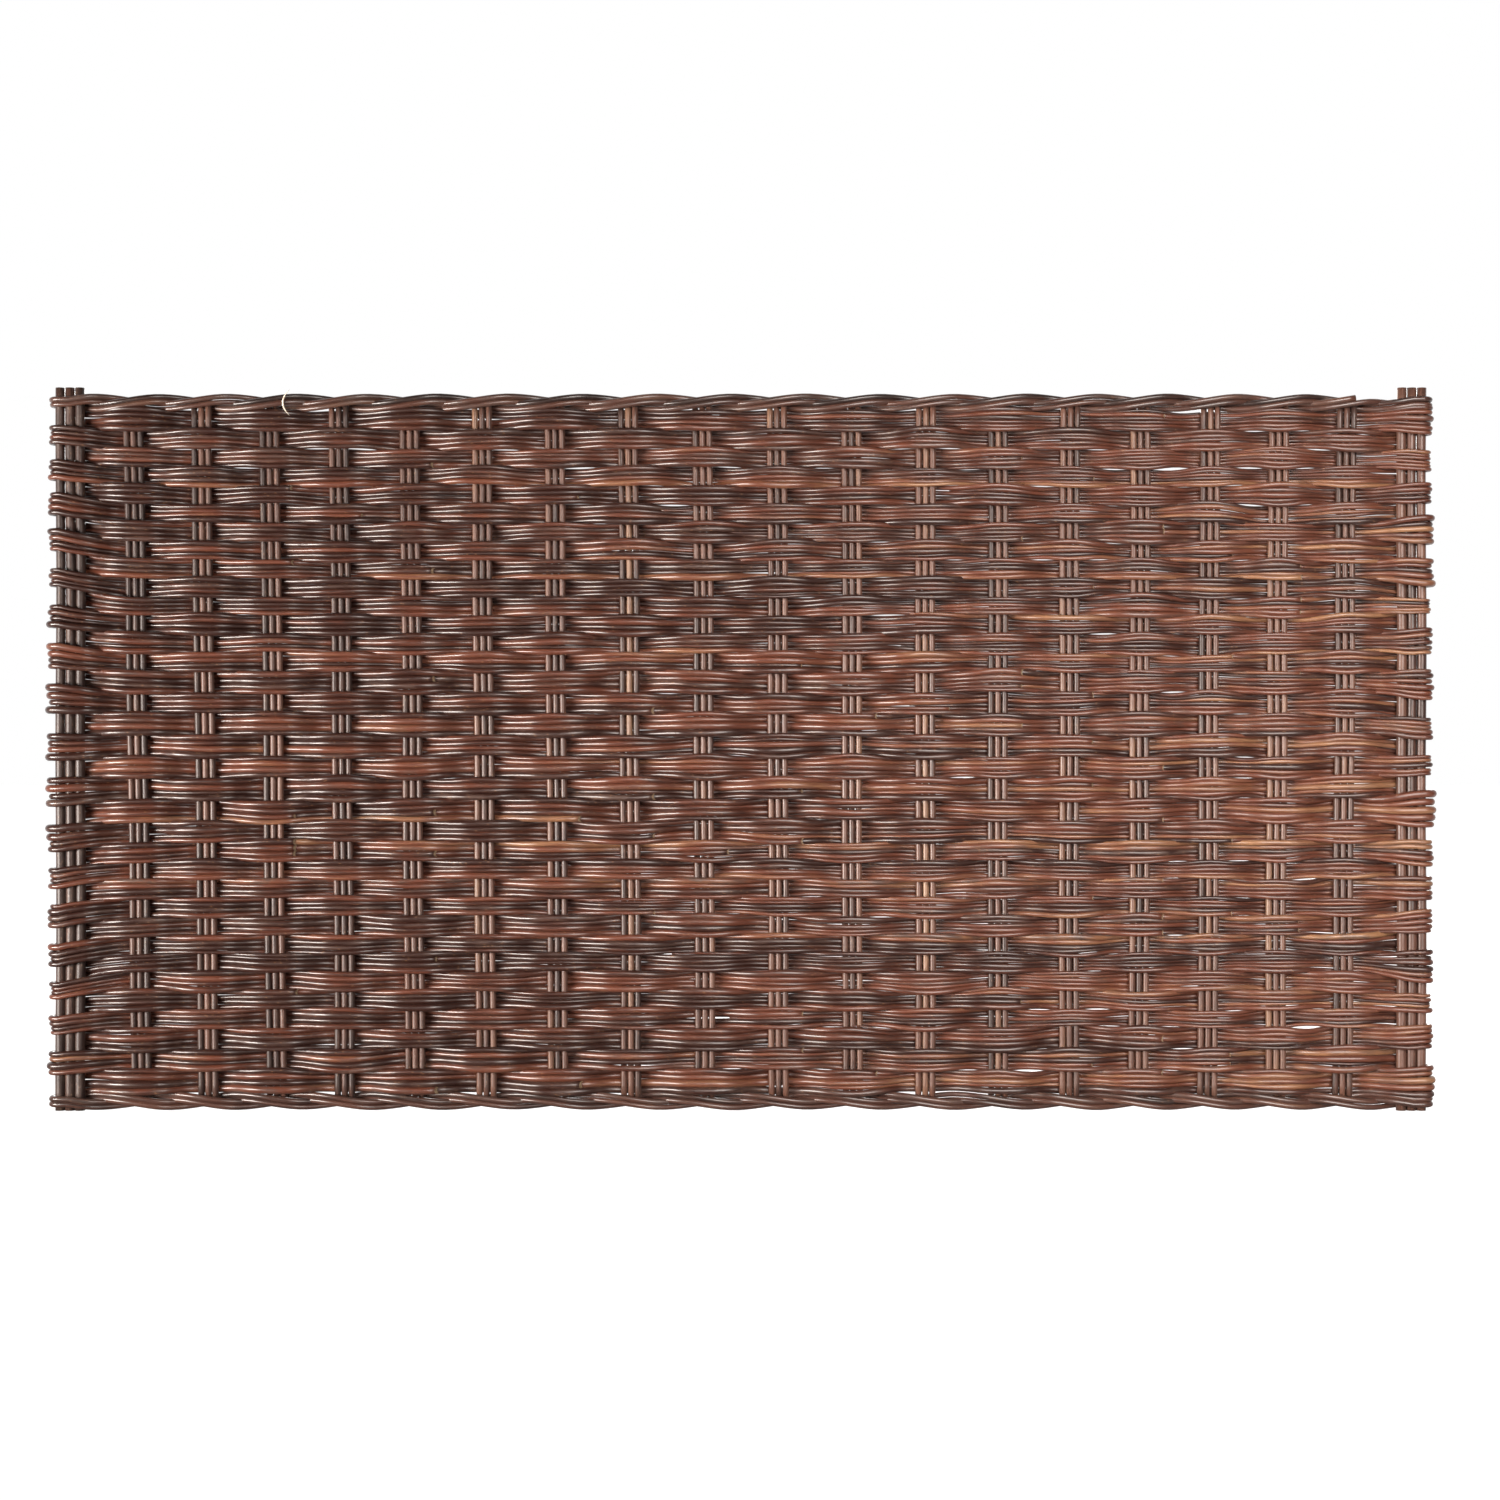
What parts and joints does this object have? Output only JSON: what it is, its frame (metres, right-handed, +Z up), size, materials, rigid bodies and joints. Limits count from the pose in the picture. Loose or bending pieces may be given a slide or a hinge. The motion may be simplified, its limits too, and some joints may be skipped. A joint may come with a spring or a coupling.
{
  "type": "woven willow hurdle",
  "caption": "Upright fence panel of willow rods: bunched stakes, flattened bunches woven over and under them, and a twisted pair along the top and bottom edges.",
  "frame": {"origin": "on the ground, below the middle of the panel", "axes": "+X along the width to the right as seen from the front, +Y from front to back, +Z up"},
  "size_m": [1.822, 0.038, 0.9514],
  "materials": {
    "stake_bark": "satin brown willow bark",
    "weaver_bark": "satin red-brown willow bark with tan streaks",
    "edge_bark": "satin dark red-brown willow bark"
  },
  "bodies": {
    "root": {"stake_01": "stake_bark", "stake_02": "stake_bark", "stake_03": "stake_bark", "stake_04": "stake_bark", "stake_05": "stake_bark", "stake_06": "stake_bark", "stake_07": "stake_bark", "stake_08": "stake_bark", "stake_09": "stake_bark", "stake_10": "stake_bark", "stake_11": "stake_bark", "stake_12": "stake_bark", "stake_13": "stake_bark", "stake_14": "stake_bark", "stake_15": "stake_bark", "stake_16": "stake_bark", "stake_17": "stake_bark", "stake_18": "stake_bark", "stake_19": "stake_bark", "stake_20": "stake_bark", "weaver_01": "weaver_bark", "weaver_02": "weaver_bark", "weaver_03": "weaver_bark", "weaver_04": "weaver_bark", "weaver_05": "weaver_bark", "weaver_06": "weaver_bark", "weaver_07": "weaver_bark", "weaver_08": "weaver_bark", "weaver_09": "weaver_bark", "weaver_10": "weaver_bark", "weaver_11": "weaver_bark", "weaver_12": "weaver_bark", "weaver_13": "weaver_bark", "weaver_14": "weaver_bark", "weaver_15": "weaver_bark", "weaver_16": "weaver_bark", "weaver_17": "weaver_bark", "weaver_18": "weaver_bark", "weaver_19": "weaver_bark", "weaver_20": "weaver_bark", "weaver_21": "weaver_bark", "weaver_22": "weaver_bark", "weaver_23": "weaver_bark", "weaver_24": "weaver_bark", "weaver_25": "weaver_bark", "weaver_26": "weaver_bark", "weaver_27": "weaver_bark", "weaver_28": "weaver_bark", "weaver_29": "weaver_bark", "weaver_30": "weaver_bark", "weaver_31": "weaver_bark", "weaver_32": "weaver_bark", "weaver_33": "weaver_bark", "weaver_34": "weaver_bark", "weaver_35": "weaver_bark", "bottom_edge_strand_1": "edge_bark", "bottom_edge_strand_2": "edge_bark", "top_edge_strand_1": "edge_bark", "top_edge_strand_2": "edge_bark"}
  },
  "joints": []
}
